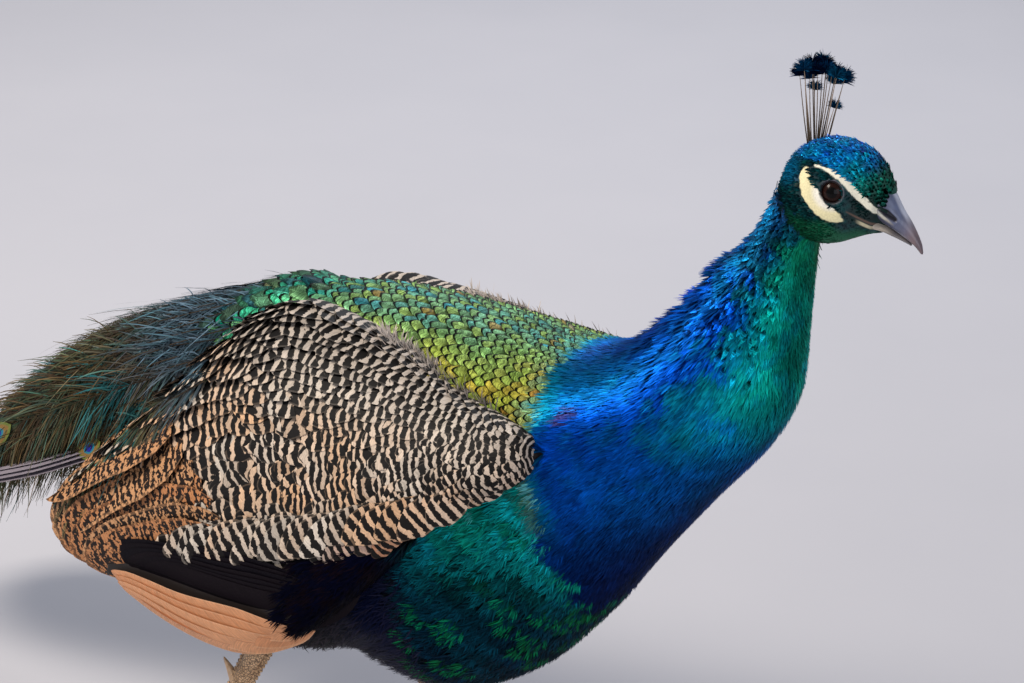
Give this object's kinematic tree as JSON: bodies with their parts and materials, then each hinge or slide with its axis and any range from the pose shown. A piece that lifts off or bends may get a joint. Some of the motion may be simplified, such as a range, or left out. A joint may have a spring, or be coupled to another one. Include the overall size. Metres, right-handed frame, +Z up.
{
  "type": "indian peacock",
  "caption": "Life-size still model of a walking male peafowl with blue neck, scaled green back, barred folded wings, a short eyed train, fan crest and bare spurred legs.",
  "frame": {"origin": "on the floor, under the middle of the whole bird's box", "axes": "+X forwards, towards the bill; +Y to the bird's left; +Z up"},
  "size_m": [1.029, 0.2358, 0.6766],
  "materials": {
    "crown_feathers": "small scale-like feathers, bright metallic blue turning green over the forehead, satin",
    "neck_feathers": "silky iridescent blue feathers with a teal and green sheen towards the front",
    "breast_feathers": "iridescent blue-green feathers, darker and rounder towards the belly",
    "back_feathers": "metallic gold-green scale feathers with fine black edges",
    "rump_feathers": "metallic green and bronze scale feathers",
    "barred_feathers": "matt feathers with black-brown and cream wavy bars",
    "tertial_feathers": "matt buff-orange feathers mottled and barred black-brown",
    "secondary_feathers": "black-brown flight feathers with a faint blue gloss",
    "primary_feathers": "matt chestnut flight feathers",
    "train_feathers": "loose bronze-green barbs with teal and blue eye-spots",
    "tail_feathers": "matt grey-brown tail feathers",
    "thigh_feathers": "soft hair-like black-brown feathers",
    "crest_feathers": "bare pale shafts with blue-green fan tips",
    "leg_skin": "grey-brown horny scales",
    "claw": "worn brown horn",
    "bill": "grey-blue horn with a paler ridge and brown tip",
    "eye": "wet dark brown eye"
  },
  "bodies": {
    "root": {"bill_lower": "bill", "bill_upper": "bill", "breast": "breast_feathers", "claw_left_hallux": "claw", "claw_left_inner": "claw", "claw_left_middle": "claw", "claw_left_outer": "claw", "claw_right_hallux": "claw", "claw_right_inner": "claw", "claw_right_middle": "claw", "claw_right_outer": "claw", "crest": "crest_feathers", "eye_left": "eye", "eye_right": "eye", "foot_left": "leg_skin", "foot_right": "leg_skin", "head": "crown_feathers", "neck_lower": "neck_feathers", "neck_upper": "neck_feathers", "rump": "rump_feathers", "shank_left": "leg_skin", "shank_right": "leg_skin", "spur_left": "claw", "spur_right": "claw", "tail": "tail_feathers", "thigh_left": "thigh_feathers", "thigh_right": "thigh_feathers", "train": "train_feathers", "trunk": "back_feathers", "wing_left_coverts": "barred_feathers", "wing_left_primaries": "primary_feathers", "wing_left_secondaries": "secondary_feathers", "wing_left_tertials": "tertial_feathers", "wing_right_coverts": "barred_feathers", "wing_right_primaries": "primary_feathers", "wing_right_secondaries": "secondary_feathers", "wing_right_tertials": "tertial_feathers"}
  },
  "joints": []
}
